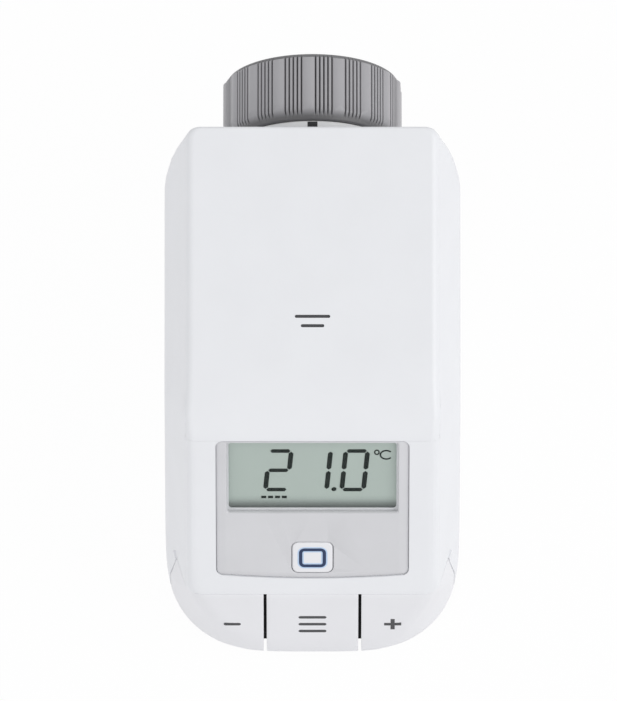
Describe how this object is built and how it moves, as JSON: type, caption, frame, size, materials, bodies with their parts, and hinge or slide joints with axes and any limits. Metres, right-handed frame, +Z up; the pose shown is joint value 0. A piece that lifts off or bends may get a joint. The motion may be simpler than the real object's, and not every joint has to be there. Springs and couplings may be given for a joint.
{
  "type": "thermostatic radiator valve head",
  "caption": "Battery-powered radiator thermostat head with sloping display, three keys, grip-lobed union nut and a geared valve plunger.",
  "frame": {"origin": "centre of the union nut's mouth, on the valve axis", "axes": "+Y towards the valve along the nut's axis, display end towards -Y, +Z up, X across the width"},
  "size_m": [0.057, 0.102, 0.068],
  "materials": {
    "shell": "fine matt white moulding",
    "key_white": "fine matt white moulding",
    "bezel_grey": "satin light grey moulding",
    "nut_grey": "satin mid grey moulding",
    "collar_white": "natural white moulding",
    "window_clear": "clear polished lens",
    "lcd": "grey-green display glass",
    "reflector_white": "white diffuser",
    "rubber_dark": "conductive rubber",
    "board_green": "green solder mask",
    "chip_black": "black moulded package",
    "shield_tin": "tinned shield can",
    "copper": "enamelled copper wire",
    "sleeve_blue": "dark blue shrink sleeve",
    "sensor_bead": "dipped bead",
    "tray_grey": "light grey moulding",
    "cell_sleeve": "printed metal sleeve, plain",
    "contact_nickel": "nickel plated spring steel",
    "gear_cream": "natural acetal",
    "steel": "ground steel",
    "plate_grey": "glass-filled grey moulding",
    "magnet_dark": "ferrite",
    "brass": "turned brass",
    "ring_blue": "dark blue light ring",
    "lead_red": "silicone wire",
    "plunger_white": "glass-filled white moulding"
  },
  "bodies": {
    "housing": {"valve_collar": "collar_white", "lower_housing": "shell", "front_cover": "shell", "display_bezel": "bezel_grey", "display_window": "window_clear", "lcd_glass": "lcd", "lcd_reflector": "reflector_white", "zebra_strips": "rubber_dark", "main_board": "board_green", "controller_chip": "chip_black", "radio_module": "shield_tin", "antenna_coil": "copper", "buffer_capacitor": "sleeve_blue", "button_switch": "chip_black", "key_board": "board_green", "key_switches": "chip_black", "temperature_sensor": "sensor_bead", "battery_tray": "tray_grey", "battery_cell_left": "cell_sleeve", "battery_cell_right": "cell_sleeve", "rear_contacts": "contact_nickel", "front_contact": "contact_nickel", "gearbox_rear_plate": "plate_grey", "spindle_bridge": "plate_grey", "gearbox_front_plate": "plate_grey", "gear_axles": "steel", "thrust_washer": "steel", "motor_can": "steel", "motor_magnets": "magnet_dark", "motor_endcap": "chip_black", "motor_leads": "lead_red", "case_screws": "steel"},
    "nut": {"union_nut": "nut_grey"},
    "cover": {"battery_cover": "shell"},
    "minus": {"minus_key": "key_white"},
    "menu": {"menu_key": "key_white"},
    "plus": {"plus_key": "key_white"},
    "button": {"system_button": "key_white", "button_light_ring": "ring_blue"},
    "rotor": {"motor_rotor": "copper", "motor_pinion": "brass"},
    "train_a": {"gear_a": "gear_cream"},
    "train_b": {"gear_b": "gear_cream"},
    "train_c": {"gear_c": "gear_cream"},
    "spindle": {"spindle_gear": "gear_cream"},
    "plunger_body": {"plunger": "plunger_white"}
  },
  "joints": [
    {"name": "nut_spin", "type": "hinge", "parent": "housing", "child": "nut", "pos_m": [0, -0.006, 0], "axis": [0, 1, 0], "continuous": true},
    {"name": "cover_slide", "type": "slide", "parent": "housing", "child": "cover", "axis": [0, -0.965, -0.2622], "range_m": [0, 0.058]},
    {"name": "minus_press", "type": "hinge", "parent": "housing", "child": "minus", "pos_m": [0, -0.09419, -0.02625], "axis": [1, 0, 0], "range_deg": [0, 1.8], "stiffness_Nm_per_rad": 0.4, "springref_deg": -0.11},
    {"name": "menu_press", "type": "hinge", "parent": "housing", "child": "menu", "pos_m": [0, -0.09419, -0.02625], "axis": [1, 0, 0], "range_deg": [0, 1.8], "stiffness_Nm_per_rad": 0.4, "springref_deg": -0.11},
    {"name": "plus_press", "type": "hinge", "parent": "housing", "child": "plus", "pos_m": [0, -0.09419, -0.02625], "axis": [1, 0, 0], "range_deg": [0, 1.8], "stiffness_Nm_per_rad": 0.4, "springref_deg": -0.11},
    {"name": "button_press", "type": "slide", "parent": "housing", "child": "button", "axis": [0, 0.808, -0.5892], "range_m": [0, 0.0004], "stiffness_N_per_m": 1500, "springref_m": -0.0001},
    {"name": "rotor_turn", "type": "hinge", "parent": "housing", "child": "rotor", "pos_m": [0.01466, -0.045, -0.01942], "axis": [0, -1, 0], "range_deg": [-1, 133748.2]},
    {"name": "gear_a_turn", "type": "hinge", "parent": "housing", "child": "train_a", "pos_m": [0.00221, -0.035, -0.01833], "axis": [0, -1, 0], "range_deg": [-33437.8, 1]},
    {"name": "gear_b_turn", "type": "hinge", "parent": "housing", "child": "train_b", "pos_m": [-0.00961, -0.032, -0.01426], "axis": [0, -1, 0], "range_deg": [-1, 8360.2]},
    {"name": "gear_c_turn", "type": "hinge", "parent": "housing", "child": "train_c", "pos_m": [0, -0.029, -0.0115], "axis": [0, -1, 0], "range_deg": [-2787.4, 1]},
    {"name": "spindle_turn", "type": "hinge", "parent": "housing", "child": "spindle", "pos_m": [0, -0.025, 0], "axis": [0, -1, 0], "range_deg": [-1, 775]},
    {"name": "plunger_slide", "type": "slide", "parent": "housing", "child": "plunger_body", "axis": [0, 1, 0], "range_m": [0, 0.0043]}
  ],
  "couplings": [
    {"joint": "rotor_turn", "follows": "plunger_slide", "rad_per_m": 542870},
    {"joint": "gear_a_turn", "follows": "plunger_slide", "rad_per_m": -135720},
    {"joint": "gear_b_turn", "follows": "plunger_slide", "rad_per_m": 33929},
    {"joint": "gear_c_turn", "follows": "plunger_slide", "rad_per_m": -11310},
    {"joint": "spindle_turn", "follows": "plunger_slide", "rad_per_m": 3141.6}
  ]
}
